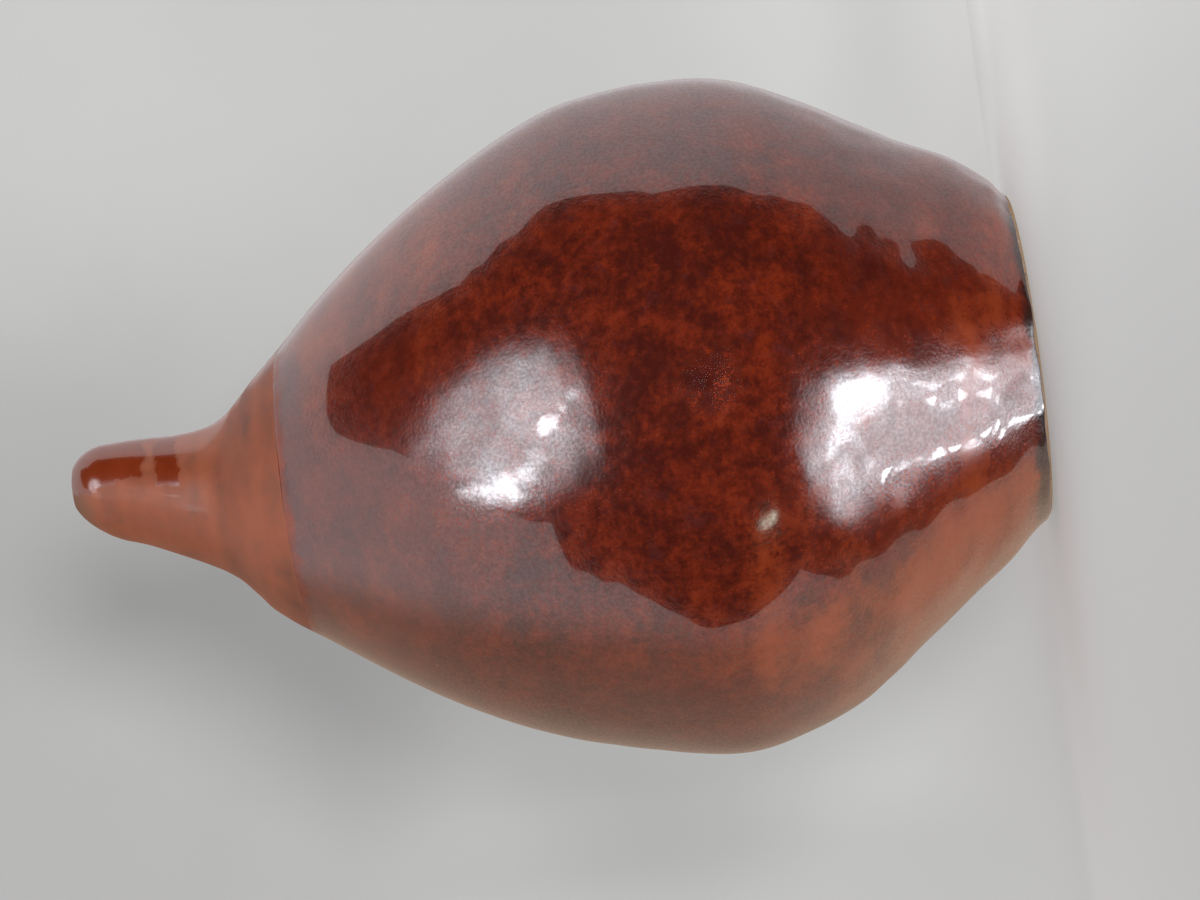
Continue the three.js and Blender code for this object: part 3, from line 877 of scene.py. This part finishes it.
# Rounds that make up a cloth: place across and up it, how far it reaches, and where its soft edge begins.
LEFT_ROUNDS = ((-0.06, -0.14, 1.3, 0.55),)
RIGHT_ROUNDS = ((0.07, 0.28, 1.1, 0.6), (-0.1, -0.55, 0.95, 0.6))
WARM_ROUNDS = ((0, 0, 1.1, 0.2),)


def diffuser(name, towards, away, wide, high, spin, power, spots, tint, rounds):
    """Round diffuser: a stippled face, soft at its edge, with bright spots on it."""
    material, tree, shader = new_material(name)
    place = put(tree, "TexCoord").outputs["UV"]
    stirred = put(tree, "TexNoise", {"Vector": place, "Scale": 5.0, "Detail": 3.0}).outputs[1]
    stirred = put(tree, "VectorMath", {0: stirred, 1: (0.5, 0.5, 0.5)}, operation="SUBTRACT").outputs[0]
    stirred = put(tree, "VectorMath", {0: stirred, "Scale": 0.3}, operation="SCALE").outputs[0]
    ragged = put(tree, "VectorMath", {0: place, 1: stirred}, operation="ADD").outputs[0]

    def away_from(u, v):
        return put(tree, "VectorMath", {0: ragged, 1: (u, v, 0)}, operation="DISTANCE").outputs["Value"]

    soft = 0.0
    for u, v, reach, soft_from in rounds:
        soft = math_node(tree, "MAXIMUM", mask(tree, away_from(u, v), reach, soft_from), soft)
    patchy = mask(tree, grain(tree, place, 1.9, 3.0), 0.3, 0.7)
    strength = times(tree, plus(tree, times(tree, patchy, 0.7), 0.5), power)
    for u, v, size, spot_power in spots:
        lit = times(tree, mask(tree, away_from(u, v), size, size * 0.25), spot_power)
        strength = plus(tree, strength, lit)
    stipple = mask(tree, grain(tree, place, 38, 1.0), 0.36, 0.64)
    stippled = plus(tree, times(tree, stipple, 0.6), 0.7)
    glow(tree, shader, tint, times(tree, strength, stippled, soft))
    show_mix(tree, soft, put(tree, "BsdfTransparent").outputs[0], shader.outputs[0])

    towards = Vector(towards).normalized()
    across = (Vector((1, 0, 0)) - towards * towards.x).normalized()
    upward = towards.cross(across)
    spun = Matrix.Rotation(math.radians(spin), 2)
    ticks = [i * 2 * CARD_REACH / CARD_CELLS - CARD_REACH for i in range(CARD_CELLS + 1)]
    grid = [(u, v) for v in ticks for u in ticks]
    points = []
    for u, v in grid:
        flat = spun @ Vector((u * wide, v * high))
        points.append(VASE_MIDDLE + away * (towards + across * flat.x + upward * flat.y))
    row = CARD_CELLS + 1
    starts = [j * row + i for j in range(CARD_CELLS) for i in range(CARD_CELLS)]
    faces = [(start, start + 1, start + row + 1, start + row) for start in starts]
    card = stage_mesh(name, points, faces, material)
    layer = card.data.uv_layers.new(name="UVMap")
    for loop in card.data.loops:
        layer.data[loop.index].uv = grid[loop.vertex_index]
    see_only(card, glossy=True)


diffuser("left_diffuser", towards=(0.10, -0.63, 0.72), away=0.95, wide=0.46, high=0.36, spin=12,
         power=2.8, spots=LEFT_SPOTS, tint=COOL, rounds=LEFT_ROUNDS)
diffuser("right_diffuser", towards=(-0.20, -0.35, -0.90), away=0.95, wide=0.40, high=0.34, spin=20,
         power=2.9, spots=RIGHT_SPOTS, tint=COOL, rounds=RIGHT_ROUNDS)
diffuser("warm_lamp", towards=(-0.57, -0.71, -0.40), away=1.0, wide=0.07, high=0.12, spin=30,
         power=3.8, spots=(), tint=WARM, rounds=WARM_ROUNDS)


# Camera: 0.85 m in front of the vase and a little lower than its middle, looking slightly up.
# It is turned on its side so that the neck lies to the left, as in the photo's view from above.
PHOTO_WIDTH = 1200
FOCAL_LENGTH_IN_PIXELS = 4100
SENSOR_WIDTH = 36
EYE = Vector((-0.0041, -0.854, 0.059))
AIM = Vector((-0.0041, 0.0, 0.09087))
PICTURE_RIGHT = Vector((-0.1357, 0, -0.99075))
camera_data = bpy.data.cameras.new("camera")
camera_data.sensor_width = SENSOR_WIDTH
camera_data.lens = SENSOR_WIDTH * FOCAL_LENGTH_IN_PIXELS / PHOTO_WIDTH
camera = bpy.data.objects.new("camera", camera_data)
looking = (AIM - EYE).normalized()
rightwards = (PICTURE_RIGHT - looking * PICTURE_RIGHT.dot(looking)).normalized()
upwards = (-looking).cross(rightwards)
turn = Matrix((rightwards, upwards, -looking)).transposed()
camera.matrix_world = Matrix.Translation(EYE) @ turn.to_4x4()
bpy.context.scene.collection.objects.link(camera)
bpy.context.scene.camera = camera
bpy.context.scene.view_settings.view_transform = "Standard"
